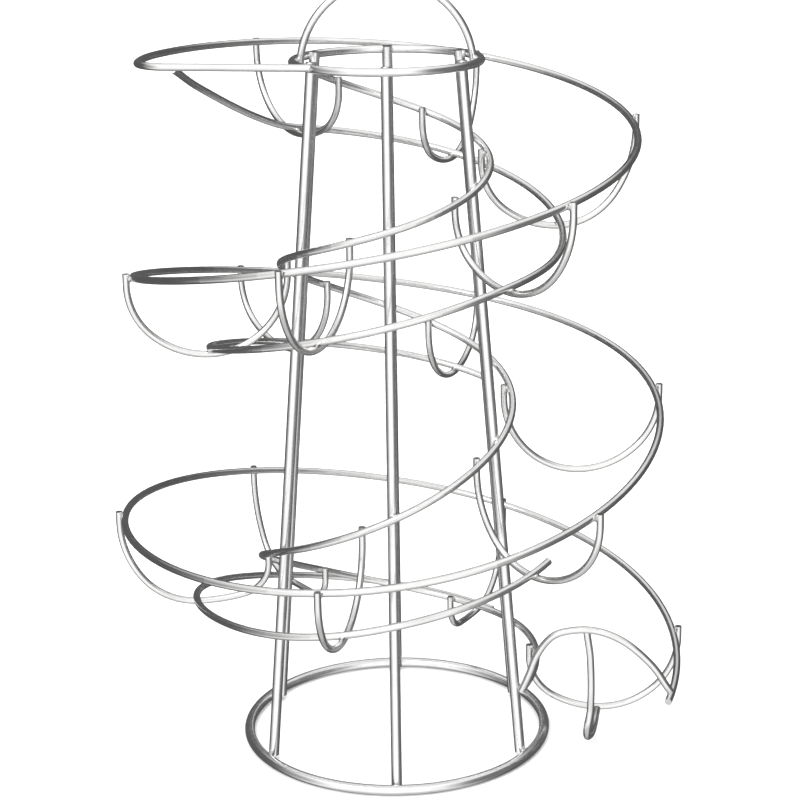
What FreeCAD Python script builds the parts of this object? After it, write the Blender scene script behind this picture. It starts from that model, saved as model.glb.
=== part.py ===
import FreeCAD, Part
import math
import os

# Spiral wire egg holder: a cone of six legs between two rings, wound with a
# two-rail helical track whose rails hang in U-shaped hoops.
# Millimetres. +Z is up, the origin is on the axis at table level and
# +Y points to the back. Track angles are unwrapped degrees about +Z: they
# grow counter-clockwise seen from above, and the track climbs with them.

# wire diameters
BASE_WIRE = 3.5
LEG_WIRE = 3.6
TOP_WIRE = 2.8
HANDLE_WIRE = 2.6
RAIL_WIRE = 2.5
HOOP_WIRE = 2.4
WELD_SINK = 0.2

# frame
BASE_RING_RADIUS = 53.0
TOP_RING_RADIUS = 31.0
RING_SPACING = 237.5
LEG_COUNT = 6
FIRST_LEG_ANGLE = -30.5
LEG_TOP_PROUD = 1.4
HANDLE_DROP = 2.5

# track: each station is (track angle, value), joined by a smooth curve
OUTER_RADII = [(-20, 100.0), (180, 93.4), (360, 91.7), (540, 86.5), (720, 82.4), (890, 81.8)]
OUTER_HEIGHTS = [(-20, 27.0), (10, 37.2), (90, 61.7), (180, 83.6), (225, 85.2), (270, 90.4),
                 (315, 104.0), (360, 121.2), (450, 144.1), (540, 168.1), (630, 191.8),
                 (720, 215.2), (810, 235.2), (880, 239.2)]
INNER_HEIGHTS = [(-31, 25.2), (0, 28.8), (50, 30.3), (90, 35.1), (180, 66.7), (242, 85.8),
                 (302, 105.8), (360, 123.6), (450, 146.3), (540, 171.3), (630, 189.1),
                 (720, 205.8), (810, 222.3), (890, 239.5)]
SEAT_HEIGHTS = [(4, 8.0), (64, 20.2), (124, 36.0), (182, 53.2), (250, 62.6), (270, 67.4), (315, 78.5),
                (364, 96.0), (425, 116.8), (460, 125.0), (540, 143.0), (630, 164.0),
                (671, 173.0), (693, 176.0), (750, 190.0), (800, 202.6), (845, 210.4)]
OUTER_START = -23
ARCH_OUTER_ANGLE = -20
OUTER_END = 900
INNER_START = -31
INNER_END = 878
LOWER_SEAT_START = 59
LOWER_SEAT_END = 319
UPPER_SEAT_START = 416
UPPER_SEAT_END = 846

# hoops: track angle of each one, and how far its ends stand above the rails
HOOP_ANGLES = [2, 64, 124, 182, 255.5, 313.5, 366, 429, 488, 547, 607.5, 671, 728, 787, 844]
HOOP_OUTER_PROUD = 1.2
HOOP_INNER_PROUD = 1.4
HOOP_STRAIGHT = 3.0

# upper end of the track
RETURN_BEND_RADIUS = 13.0
RETURN_HEADING = -10.0

base_z = BASE_WIRE / 2
top_z = base_z + RING_SPACING
leg_foot_radius = BASE_RING_RADIUS - BASE_WIRE / 2 - LEG_WIRE / 2 + WELD_SINK
leg_head_radius = TOP_RING_RADIUS - TOP_WIRE / 2 - LEG_WIRE / 2 + WELD_SINK
crossing = RAIL_WIRE / 2 + HOOP_WIRE / 2 - WELD_SINK


def polar(radius, degrees, height):
    a = math.radians(degrees)
    return FreeCAD.Vector(radius * math.cos(a), radius * math.sin(a), height)


def station_value(stations, angle):
    """Natural cubic curve through the stations."""
    n = len(stations)
    xs = [float(s[0]) for s in stations]
    ys = [float(s[1]) for s in stations]
    lower = [0.0] * n
    diag = [1.0] * n
    upper = [0.0] * n
    rhs = [0.0] * n
    for i in range(1, n - 1):
        left = xs[i] - xs[i - 1]
        right = xs[i + 1] - xs[i]
        lower[i] = left
        diag[i] = 2 * (left + right)
        upper[i] = right
        rhs[i] = 6 * ((ys[i + 1] - ys[i]) / right - (ys[i] - ys[i - 1]) / left)
    for i in range(1, n):
        w = lower[i] / diag[i - 1]
        diag[i] -= w * upper[i - 1]
        rhs[i] -= w * rhs[i - 1]
    bend = [0.0] * n
    bend[-1] = rhs[-1] / diag[-1]
    for i in range(n - 2, -1, -1):
        bend[i] = (rhs[i] - upper[i] * bend[i + 1]) / diag[i]
    k = 0
    while k < n - 2 and angle > xs[k + 1]:
        k += 1
    h = xs[k + 1] - xs[k]
    a = (xs[k + 1] - angle) / h
    b = (angle - xs[k]) / h
    curve = ((a ** 3 - a) * bend[k] + (b ** 3 - b) * bend[k + 1]) * h * h / 6
    return a * ys[k] + b * ys[k + 1] + curve


def leg_radius(height):
    t = (height - base_z) / RING_SPACING
    return leg_foot_radius + (leg_head_radius - leg_foot_radius) * t


def outer_point(angle):
    return polar(station_value(OUTER_RADII, angle), angle, station_value(OUTER_HEIGHTS, angle))


def inner_point(angle):
    z = station_value(INNER_HEIGHTS, angle)
    return polar(leg_radius(z) + LEG_WIRE / 2 + RAIL_WIRE / 2 - WELD_SINK, angle, z)


def plan_radius(point):
    return math.hypot(point.x, point.y)


def seat_point(angle):
    middle = (plan_radius(outer_point(angle)) + plan_radius(inner_point(angle))) / 2
    return polar(middle, angle, station_value(SEAT_HEIGHTS, angle))


def bend_edge(start, corner, end):
    """Arc from start to end whose end tangents meet at the corner."""
    middle = (start + end) * 0.5
    half = end.sub(start).Length / 2
    rise = corner.sub(middle).Length
    if rise < 0.0005 * half:
        return Part.makeLine(start, end)
    slope = math.atan2(rise, half)
    crown = middle + corner.sub(middle) * (math.tan(slope / 2) / math.tan(slope))
    return Part.Arc(start, crown, end).toShape()


def two_bends(start, leaving, end, arriving):
    """Two arcs that join two points and follow a direction at each."""
    span = end.sub(start)
    a = 2 * (leaving.dot(arriving) - 1)
    b = -2 * span.dot(leaving + arriving)
    c = span.dot(span)
    reach = 2 * c / (math.sqrt(b * b - 4 * a * c) - b)
    first = start + leaving * reach
    second = end - arriving * reach
    joint = (first + second) * 0.5
    return [bend_edge(start, first, joint), bend_edge(joint, second, end)]


def bends_through(points, headings):
    edges = []
    for i in range(len(points) - 1):
        edges.extend(two_bends(points[i], headings[i], points[i + 1], headings[i + 1]))
    return edges


def free_headings(points):
    """Direction at each point of a hand-bent wire, from its neighbours."""
    headings = [points[1].sub(points[0])]
    for i in range(1, len(points) - 1):
        headings.append(points[i + 1].sub(points[i - 1]))
    headings.append(points[-1].sub(points[-2]))
    for h in headings:
        h.normalize()
    return headings


def track_run(place, start, end, step=30.0):
    """Points and headings along one of the track's rails."""
    count = max(2, int(math.ceil((end - start) / step)))
    angles = [start + (end - start) * i / count for i in range(count + 1)]
    points = [place(a) for a in angles]
    headings = [place(a + 0.5).sub(place(a - 0.5)) for a in angles]
    for h in headings:
        h.normalize()
    return points, headings


def wire_solid(edges, diameter):
    """Round wire swept along joined edges."""
    path = Part.Wire(edges)
    first = edges[0]
    start = first.valueAt(first.FirstParameter)
    direction = first.tangentAt(first.FirstParameter)
    profile = Part.Wire([Part.makeCircle(diameter / 2, start, direction)])
    return path.makePipeShell([profile], True, False)


def base_ring():
    return Part.makeTorus(BASE_RING_RADIUS, BASE_WIRE / 2, FreeCAD.Vector(0, 0, base_z))


def top_ring():
    return Part.makeTorus(TOP_RING_RADIUS, TOP_WIRE / 2, FreeCAD.Vector(0, 0, top_z))


def carry_handle():
    radius = TOP_RING_RADIUS - TOP_WIRE / 2 - HANDLE_WIRE / 2 + WELD_SINK
    z = top_z - HANDLE_DROP
    left = FreeCAD.Vector(-radius, 0, z)
    crown = FreeCAD.Vector(0, 0, z + radius)
    right = FreeCAD.Vector(radius, 0, z)
    return wire_solid([Part.Arc(left, crown, right).toShape()], HANDLE_WIRE)


def leg(index):
    angle = FIRST_LEG_ANGLE + index * 360.0 / LEG_COUNT
    foot = polar(leg_foot_radius, angle, base_z)
    head = polar(leg_radius(top_z + LEG_TOP_PROUD), angle, top_z + LEG_TOP_PROUD)
    run = head.sub(foot)
    return Part.makeCylinder(LEG_WIRE / 2, run.Length, foot, run)


def outer_rail():
    """Climbs the outside, bends round at the top and runs back to the top ring."""
    points, headings = track_run(outer_point, OUTER_START, OUTER_END)
    end = points[-1]
    flat = FreeCAD.Vector(headings[-1].x, headings[-1].y, 0)
    flat.normalize()
    headings[-1] = flat
    inward = FreeCAD.Vector(-flat.y, flat.x, 0)
    centre = end + inward * RETURN_BEND_RADIUS
    aim = math.radians(RETURN_HEADING)
    turn = math.atan2(-flat.y, flat.x) + aim
    half = turn / 2
    middle = centre + inward * (-RETURN_BEND_RADIUS * math.cos(half))
    middle = middle + flat * (RETURN_BEND_RADIUS * math.sin(half))
    finish = centre + inward * (-RETURN_BEND_RADIUS * math.cos(turn))
    finish = finish + flat * (RETURN_BEND_RADIUS * math.sin(turn))
    bend = Part.Arc(end, middle, finish).toShape()
    run = FreeCAD.Vector(math.cos(aim), math.sin(aim), 0)
    along = finish.x * run.x + finish.y * run.y
    ring_edge = TOP_RING_RADIUS + TOP_WIRE / 2 - WELD_SINK
    reach = -along - math.sqrt(along ** 2 - finish.x ** 2 - finish.y ** 2 + ring_edge ** 2)
    straight = Part.makeLine(finish, finish + run * reach)
    return wire_solid(bends_through(points, headings) + [bend, straight], RAIL_WIRE)


def inner_rail():
    points, headings = track_run(inner_point, INNER_START, INNER_END)
    return wire_solid(bends_through(points, headings), RAIL_WIRE)


def lower_seat_rail():
    points, headings = track_run(seat_point, LOWER_SEAT_START, LOWER_SEAT_END)
    return wire_solid(bends_through(points, headings), RAIL_WIRE)


def upper_seat_rail():
    """Second length of the seat rail; its top end sweeps outward to the return wire."""
    points, headings = track_run(seat_point, UPPER_SEAT_START, UPPER_SEAT_END)
    sweep = [points[-1], polar(58.5, 862, 216.0), polar(65.0, 885, 228.5), polar(70.0, 903, 237.8)]
    sweep_headings = free_headings(sweep)
    sweep_headings[0] = headings[-1]
    edges = bends_through(points, headings) + bends_through(sweep, sweep_headings)
    return wire_solid(edges, RAIL_WIRE)


def hoop(angle):
    """A quarter oval from each side rail down to the seat rail, with short straight ends."""
    outside = outer_point(angle)
    inside = inner_point(angle)
    outer_radius = plan_radius(outside) + crossing
    inner_radius = plan_radius(inside) - crossing
    middle = (outer_radius + inner_radius) / 2
    outer_spring = outside.z - HOOP_STRAIGHT
    inner_spring = inside.z - HOOP_STRAIGHT
    bottom = station_value(SEAT_HEIGHTS, angle) - crossing
    points = [polar(outer_radius, angle, outer_spring), polar(middle, angle, bottom)]
    points.append(polar(inner_radius, angle, inner_spring))
    headings = [FreeCAD.Vector(0, 0, -1), polar(-1, angle, 0), FreeCAD.Vector(0, 0, 1)]
    outer_end = polar(outer_radius, angle, outside.z + HOOP_OUTER_PROUD)
    inner_end = polar(inner_radius, angle, inside.z + HOOP_INNER_PROUD)
    outer_line = Part.makeLine(outer_end, points[0])
    inner_line = Part.makeLine(points[-1], inner_end)
    return wire_solid([outer_line] + bends_through(points, headings) + [inner_line], HOOP_WIRE)


def end_arch():
    """Gate across the low end of the track, highest near its inner side."""
    points = [inner_point(INNER_START), FreeCAD.Vector(52, -29, 45.0), FreeCAD.Vector(63, -31, 49.5)]
    points = points + [FreeCAD.Vector(75, -32.5, 47.0), FreeCAD.Vector(86, -34, 38.5)]
    points = points + [outer_point(ARCH_OUTER_ANGLE)]
    return wire_solid(bends_through(points, free_headings(points)), RAIL_WIRE)


def end_stop():
    """Drops from the crown of the arch and turns back under to the first hoop."""
    points = [FreeCAD.Vector(65, -31, 49), FreeCAD.Vector(66.5, -30, 38), FreeCAD.Vector(67, -28, 20)]
    points = points + [FreeCAD.Vector(66, -25.5, 8), FreeCAD.Vector(68.5, -18, 5)]
    points = points + [FreeCAD.Vector(72, -2, 6.5)]
    return wire_solid(bends_through(points, free_headings(points)), RAIL_WIRE)


def build():
    made = {}
    made["base_ring"] = base_ring()
    made["top_ring"] = top_ring()
    made["carry_handle"] = carry_handle()
    for i in range(LEG_COUNT):
        made["leg_%d" % (i + 1)] = leg(i)
    made["outer_rail"] = outer_rail()
    made["inner_rail"] = inner_rail()
    made["lower_seat_rail"] = lower_seat_rail()
    made["upper_seat_rail"] = upper_seat_rail()
    for i, angle in enumerate(HOOP_ANGLES):
        made["hoop_%02d" % (i + 1)] = hoop(angle)
    made["end_arch"] = end_arch()
    made["end_stop"] = end_stop()
    return made


os.makedirs("parts", exist_ok=True)
for name, shape in build().items():
    shape.exportStep("parts/%s.step" % name)
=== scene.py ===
import math

import bmesh
import bpy
from mathutils import Matrix, Vector
from mathutils.bvhtree import BVHTree


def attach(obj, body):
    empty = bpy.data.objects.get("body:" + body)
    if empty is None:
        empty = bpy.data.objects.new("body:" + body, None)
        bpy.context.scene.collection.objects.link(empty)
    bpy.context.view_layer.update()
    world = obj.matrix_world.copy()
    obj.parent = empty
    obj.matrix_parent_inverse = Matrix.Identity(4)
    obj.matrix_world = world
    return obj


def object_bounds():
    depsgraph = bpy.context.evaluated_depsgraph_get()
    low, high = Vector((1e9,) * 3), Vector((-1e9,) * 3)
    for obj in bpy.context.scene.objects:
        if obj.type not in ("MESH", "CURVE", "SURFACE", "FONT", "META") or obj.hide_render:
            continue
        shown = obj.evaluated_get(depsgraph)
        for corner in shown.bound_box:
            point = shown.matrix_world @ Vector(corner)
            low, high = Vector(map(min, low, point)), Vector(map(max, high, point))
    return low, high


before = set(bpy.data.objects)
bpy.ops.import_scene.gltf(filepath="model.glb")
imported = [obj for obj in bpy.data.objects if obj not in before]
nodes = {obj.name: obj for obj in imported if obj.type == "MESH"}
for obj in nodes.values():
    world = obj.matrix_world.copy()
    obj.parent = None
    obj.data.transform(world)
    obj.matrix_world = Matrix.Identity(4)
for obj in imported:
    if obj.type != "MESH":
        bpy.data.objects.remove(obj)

# Spiral wire egg stand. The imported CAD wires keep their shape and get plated
# steel materials; small weld nuggets are added where wires cross.
# Metres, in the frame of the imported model.

cad_low, cad_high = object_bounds()
HOOPS = sorted(n for n in nodes if n.startswith("hoop_"))
LEGS = sorted(n for n in nodes if n.startswith("leg_"))
RAILS = ["outer_rail", "inner_rail", "lower_seat_rail", "upper_seat_rail"]

# camera: metres, radians, and millimetres for the lens
CAMERA_PLACE = Vector((0.0, -0.6770, 0.3233))
CAMERA_YAW = 0.00407
CAMERA_PITCH = 0.28784
CAMERA_ROLL = -0.01458
CAMERA_LENS = 92.27

# finish of the wires: colours, and noise cells per metre
TRACK_TINT = (0.74, 0.735, 0.73)
# the stand tint is partly painted light: it is the same plating as the track wire, made paler so
# the upright legs, which catch little reflected light, still come out bright
STAND_TINT_PAINTED_LIGHT = (0.80, 0.80, 0.80)
CLOUD_SCALE = 55.0
RIPPLE_SCALE = 320.0
GRAIN_SCALE = 2600.0
RIPPLE_STRENGTH = 0.03
GRAIN_STRENGTH = 0.04

# weld nuggets: metres
NUGGET_RADIUS = 0.00105
SAME_WELD = 0.006

FLOOR_REACH = 6.0


# ---------- camera ----------

def make_camera():
    forward = Vector((math.sin(CAMERA_YAW) * math.cos(CAMERA_PITCH),
                      math.cos(CAMERA_YAW) * math.cos(CAMERA_PITCH),
                      -math.sin(CAMERA_PITCH)))
    level = forward.cross(Vector((0, 0, 1))).normalized()
    upright = level.cross(forward)
    right = level * math.cos(CAMERA_ROLL) + upright * math.sin(CAMERA_ROLL)
    up = upright * math.cos(CAMERA_ROLL) - level * math.sin(CAMERA_ROLL)
    turn = Matrix((right, up, -forward)).transposed()
    data = bpy.data.cameras.new("camera")
    data.lens = CAMERA_LENS
    data.sensor_width = 36.0
    data.clip_start = 0.01
    data.clip_end = 50.0
    data.dof.use_dof = False
    camera = bpy.data.objects.new("camera", data)
    camera.matrix_world = Matrix.Translation(CAMERA_PLACE) @ turn.to_4x4()
    bpy.context.scene.collection.objects.link(camera)
    bpy.context.scene.camera = camera


# ---------- materials ----------

def new_material(name):
    material = bpy.data.materials.new(name)
    material.use_nodes = True
    tree = material.node_tree
    tree.nodes.clear()
    out = tree.nodes.new("ShaderNodeOutputMaterial")
    shader = tree.nodes.new("ShaderNodeBsdfPrincipled")
    tree.links.new(shader.outputs["BSDF"], out.inputs["Surface"])
    return material, tree, shader


def noise(tree, coords, scale, detail=4.0, roughness=0.55, distortion=0.0):
    node = tree.nodes.new("ShaderNodeTexNoise")
    node.inputs["Scale"].default_value = scale
    node.inputs["Detail"].default_value = detail
    node.inputs["Roughness"].default_value = roughness
    node.inputs["Distortion"].default_value = distortion
    tree.links.new(coords, node.inputs["Vector"])
    return node.outputs["Fac"]


def ramp(tree, value, stops):
    node = tree.nodes.new("ShaderNodeValToRGB")
    band = node.color_ramp
    ends = ((band.elements[0], stops[0]), (band.elements[1], stops[-1]))
    for element, (place, colour) in ends:
        element.position = place
        element.color = (*colour, 1.0)
    for place, colour in stops[1:-1]:
        band.elements.new(place).color = (*colour, 1.0)
    tree.links.new(value, node.inputs["Fac"])
    return node.outputs["Color"]


def spread(tree, value, low, high):
    """Stretches the middle range of a noise to low..high."""
    node = tree.nodes.new("ShaderNodeMapRange")
    node.inputs["From Min"].default_value = 0.3
    node.inputs["From Max"].default_value = 0.7
    node.inputs["To Min"].default_value = low
    node.inputs["To Max"].default_value = high
    tree.links.new(value, node.inputs["Value"])
    return node.outputs["Result"]


def bump(tree, height, strength, distance, base=None):
    node = tree.nodes.new("ShaderNodeBump")
    node.inputs["Strength"].default_value = strength
    node.inputs["Distance"].default_value = distance
    tree.links.new(height, node.inputs["Height"])
    if base is not None:
        tree.links.new(base, node.inputs["Normal"])
    return node.outputs["Normal"]


def plated_wire(name, tint, rough_low, rough_high):
    """Satin plated steel wire: cloudy plating, fine grain and shallow draw ripples."""
    material, tree, shader = new_material(name)
    coords = tree.nodes.new("ShaderNodeTexCoord").outputs["Object"]
    cloud = noise(tree, coords, CLOUD_SCALE, 5.0, 0.6)
    grain = noise(tree, coords, GRAIN_SCALE, 3.0, 0.6)
    waver = noise(tree, coords, RIPPLE_SCALE, 3.0, 0.5, 0.4)
    dark = tuple(c * 0.86 for c in tint)
    pale = tuple(min(1.0, c * 1.06) for c in tint)
    colour = ramp(tree, cloud, [(0.25, dark), (0.5, tint), (0.75, pale)])
    tree.links.new(colour, shader.inputs["Base Color"])
    shader.inputs["Metallic"].default_value = 1.0
    tree.links.new(spread(tree, waver, rough_low, rough_high), shader.inputs["Roughness"])
    rippled = bump(tree, waver, RIPPLE_STRENGTH, 0.0006)
    grained = bump(tree, grain, GRAIN_STRENGTH, 0.0002, rippled)
    tree.links.new(grained, shader.inputs["Normal"])
    return material


def weld_metal():
    """Duller, rougher grey metal of the small spot-weld nuggets."""
    material, tree, shader = new_material("weld_nugget")
    coords = tree.nodes.new("ShaderNodeTexCoord").outputs["Object"]
    blotch = noise(tree, coords, 700.0, 4.0, 0.6)
    pit = noise(tree, coords, 2200.0, 4.0, 0.7)
    colour = ramp(tree, blotch, [(0.3, (0.44, 0.43, 0.42)), (0.55, (0.54, 0.53, 0.52)),
                                 (0.75, (0.64, 0.63, 0.62))])
    tree.links.new(colour, shader.inputs["Base Color"])
    shader.inputs["Metallic"].default_value = 1.0
    tree.links.new(spread(tree, blotch, 0.30, 0.48), shader.inputs["Roughness"])
    tree.links.new(bump(tree, pit, 0.4, 0.0003), shader.inputs["Normal"])
    return material


def paper_floor():
    """Seamless white sweep with a trace of paper grain."""
    material, tree, shader = new_material("paper_floor")
    coords = tree.nodes.new("ShaderNodeTexCoord").outputs["Object"]
    grain = noise(tree, coords, 900.0, 3.0)
    cloud = noise(tree, coords, 2.0, 2.0)
    colour = ramp(tree, cloud, [(0.3, (0.90, 0.90, 0.90)), (0.7, (0.93, 0.93, 0.93))])
    tree.links.new(colour, shader.inputs["Base Color"])
    shader.inputs["Roughness"].default_value = 0.9
    tree.links.new(bump(tree, grain, 0.05, 0.0002), shader.inputs["Normal"])
    return material


def dress(node, material):
    for slot in nodes[node].material_slots:
        slot.material = material


# ---------- weld nuggets ----------

def wire_tree(node):
    mesh = nodes[node].data
    verts = [v.co.copy() for v in mesh.vertices]
    faces = [tuple(p.vertices) for p in mesh.polygons]
    return BVHTree.FromPolygons(verts, faces), verts, faces


def girth(corners):
    return sum((corners[i] - corners[i - 1]).length for i in range(len(corners)))


def crossings(first, second):
    """Middles of the patches where two wires sink into each other."""
    tree_a, verts_a, faces_a = first
    tree_b, verts_b, faces_b = second
    spots = []
    for ia, ib in tree_a.overlap(tree_b):
        corners_a = [verts_a[i] for i in faces_a[ia]]
        corners_b = [verts_b[i] for i in faces_b[ib]]
        corners = min(corners_a, corners_b, key=girth)
        spots.append(sum(corners, Vector()) / len(corners))
    groups = []
    for spot in spots:
        for group in groups:
            if (group[0] - spot).length < SAME_WELD:
                group.append(spot)
                break
        else:
            groups.append([spot])
    return [sum(g, Vector()) / len(g) for g in groups]


def weld_places():
    """Every place where two welded wires meet."""
    trees = {n: wire_tree(n) for n in nodes}
    pairs = [(hoop, rail) for hoop in HOOPS for rail in RAILS]
    pairs += [(leg, other) for leg in LEGS for other in ["inner_rail", "base_ring", "top_ring"]]
    pairs += [("carry_handle", "top_ring"), ("end_arch", "outer_rail"), ("end_arch", "inner_rail"),
              ("end_stop", "end_arch"), ("end_stop", HOOPS[0]), ("outer_rail", "top_ring")]
    places = []
    for a, b in pairs:
        places += crossings(trees[a], trees[b])
    return places


def weld_nuggets(places, material):
    """One small lumpy bead of metal at each crossing, as a single mesh."""
    made = bmesh.new()
    for k, place in enumerate(places):
        lump = bmesh.ops.create_icosphere(made, subdivisions=3, radius=1.0)
        for vert in lump["verts"]:
            c = vert.co
            wave = 1.0 + 0.10 * math.sin(3.1 * c.x + k) * math.sin(2.7 * c.y + 1.7 * k)
            wave += 0.05 * math.sin(7.3 * c.z + 2.3 * k)
            c *= wave
            vert.co = c * NUGGET_RADIUS + place
    mesh = bpy.data.meshes.new("weld_nuggets")
    made.to_mesh(mesh)
    made.free()
    for face in mesh.polygons:
        face.use_smooth = True
    nuggets = bpy.data.objects.new("weld_nuggets", mesh)
    bpy.context.scene.collection.objects.link(nuggets)
    mesh.materials.append(material)
    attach(nuggets, "root")


# ---------- stage ----------

def make_stage():
    mesh = bpy.data.meshes.new("floor")
    corners = [(-FLOOR_REACH, -FLOOR_REACH, 0), (FLOOR_REACH, -FLOOR_REACH, 0),
               (FLOOR_REACH, FLOOR_REACH, 0), (-FLOOR_REACH, FLOOR_REACH, 0)]
    mesh.from_pydata(corners, [], [(0, 1, 2, 3)])
    floor = bpy.data.objects.new("floor", mesh)
    floor.location.z = cad_low.z
    bpy.context.scene.collection.objects.link(floor)
    mesh.materials.append(paper_floor())
    floor.visible_glossy = False
    floor.visible_shadow = False


def soft_box(name, place, target, width, height, power, mirrored=True):
    """Rectangular lamp; one that isn't mirrored lights the scene without showing in the metal."""
    data = bpy.data.lights.new(name, "AREA")
    data.shape = "RECTANGLE"
    data.size = width
    data.size_y = height
    data.energy = power
    lamp = bpy.data.objects.new(name, data)
    lamp.location = place
    lamp.rotation_euler = (Vector(target) - Vector(place)).to_track_quat("-Z", "Y").to_euler()
    lamp.visible_glossy = mirrored
    bpy.context.scene.collection.objects.link(lamp)


def arithmetic(tree, kind, first, second):
    node = tree.nodes.new("ShaderNodeMath")
    node.operation = kind
    for socket, value in zip(node.inputs, (first, second)):
        if isinstance(value, float):
            socket.default_value = value
        else:
            tree.links.new(value, socket)
    return node.outputs["Value"]


def fade(tree, value, start, end, low, high):
    """Smooth step from low at start to high at end."""
    node = tree.nodes.new("ShaderNodeMapRange")
    node.interpolation_type = "SMOOTHSTEP"
    node.inputs["From Min"].default_value = start
    node.inputs["From Max"].default_value = end
    node.inputs["To Min"].default_value = low
    node.inputs["To Max"].default_value = high
    tree.links.new(value, node.inputs["Value"])
    return node.outputs["Result"]


def studio_world():
    """Light tent: bright front and roof, with dark flags behind and to both sides."""
    world = bpy.data.worlds.new("studio")
    bpy.context.scene.world = world
    world.use_nodes = True
    tree = world.node_tree
    tree.nodes.clear()
    out = tree.nodes.new("ShaderNodeOutputWorld")
    background = tree.nodes.new("ShaderNodeBackground")
    background.inputs["Strength"].default_value = 1.0
    coords = tree.nodes.new("ShaderNodeTexCoord").outputs["Generated"]
    split = tree.nodes.new("ShaderNodeSeparateXYZ")
    tree.links.new(coords, split.inputs["Vector"])
    shifted = arithmetic(tree, "ADD", split.outputs["X"], 0.12)
    aside = arithmetic(tree, "ABSOLUTE", shifted, 0.0)
    strip = fade(tree, aside, 0.50, 0.97, 1.20, 0.08)
    ahead = fade(tree, split.outputs["Y"], -0.10, 0.20, 1.0, 0.0)
    below = fade(tree, split.outputs["Z"], -0.85, -0.50, 0.50, 1.0)
    front = arithmetic(tree, "MULTIPLY", arithmetic(tree, "MULTIPLY", strip, ahead), below)
    roof = fade(tree, split.outputs["Z"], 0.50, 0.80, 0.0, 0.95)
    deck = fade(tree, split.outputs["Z"], -0.95, -0.80, 0.35, 0.0)
    level = arithmetic(tree, "MAXIMUM", arithmetic(tree, "MAXIMUM", front, roof), deck)
    tree.links.new(arithmetic(tree, "ADD", level, 0.12), background.inputs["Color"])
    tree.links.new(background.outputs["Background"], out.inputs["Surface"])


def make_lights():
    middle = (cad_low + cad_high) / 2
    soft_box("key", (-0.8, -1.2, 1.3), middle, 0.7, 0.7, 10.0)
    soft_box("overhead", (0.0, 0.3, 2.0), middle, 2.4, 2.4, 42.0, mirrored=False)
    soft_box("backdrop", (0.0, 3.2, 1.6), (0.0, 3.0, 0.0), 4.0, 2.0, 60.0, mirrored=False)


def main():
    make_camera()
    track = plated_wire("plated_track_wire", TRACK_TINT, 0.14, 0.22)
    # stand material: the track plating with a paler tint, which is painted light for the dim
    # upright legs
    stand = plated_wire("plated_stand_wire_painted_light", STAND_TINT_PAINTED_LIGHT, 0.16, 0.24)
    for node in nodes:
        dress(node, track)
    for node in ["base_ring", "top_ring", "carry_handle", *LEGS]:
        dress(node, stand)
    weld_nuggets(weld_places(), weld_metal())
    make_stage()
    studio_world()
    make_lights()
    bpy.context.scene.view_settings.view_transform = "Standard"


main()
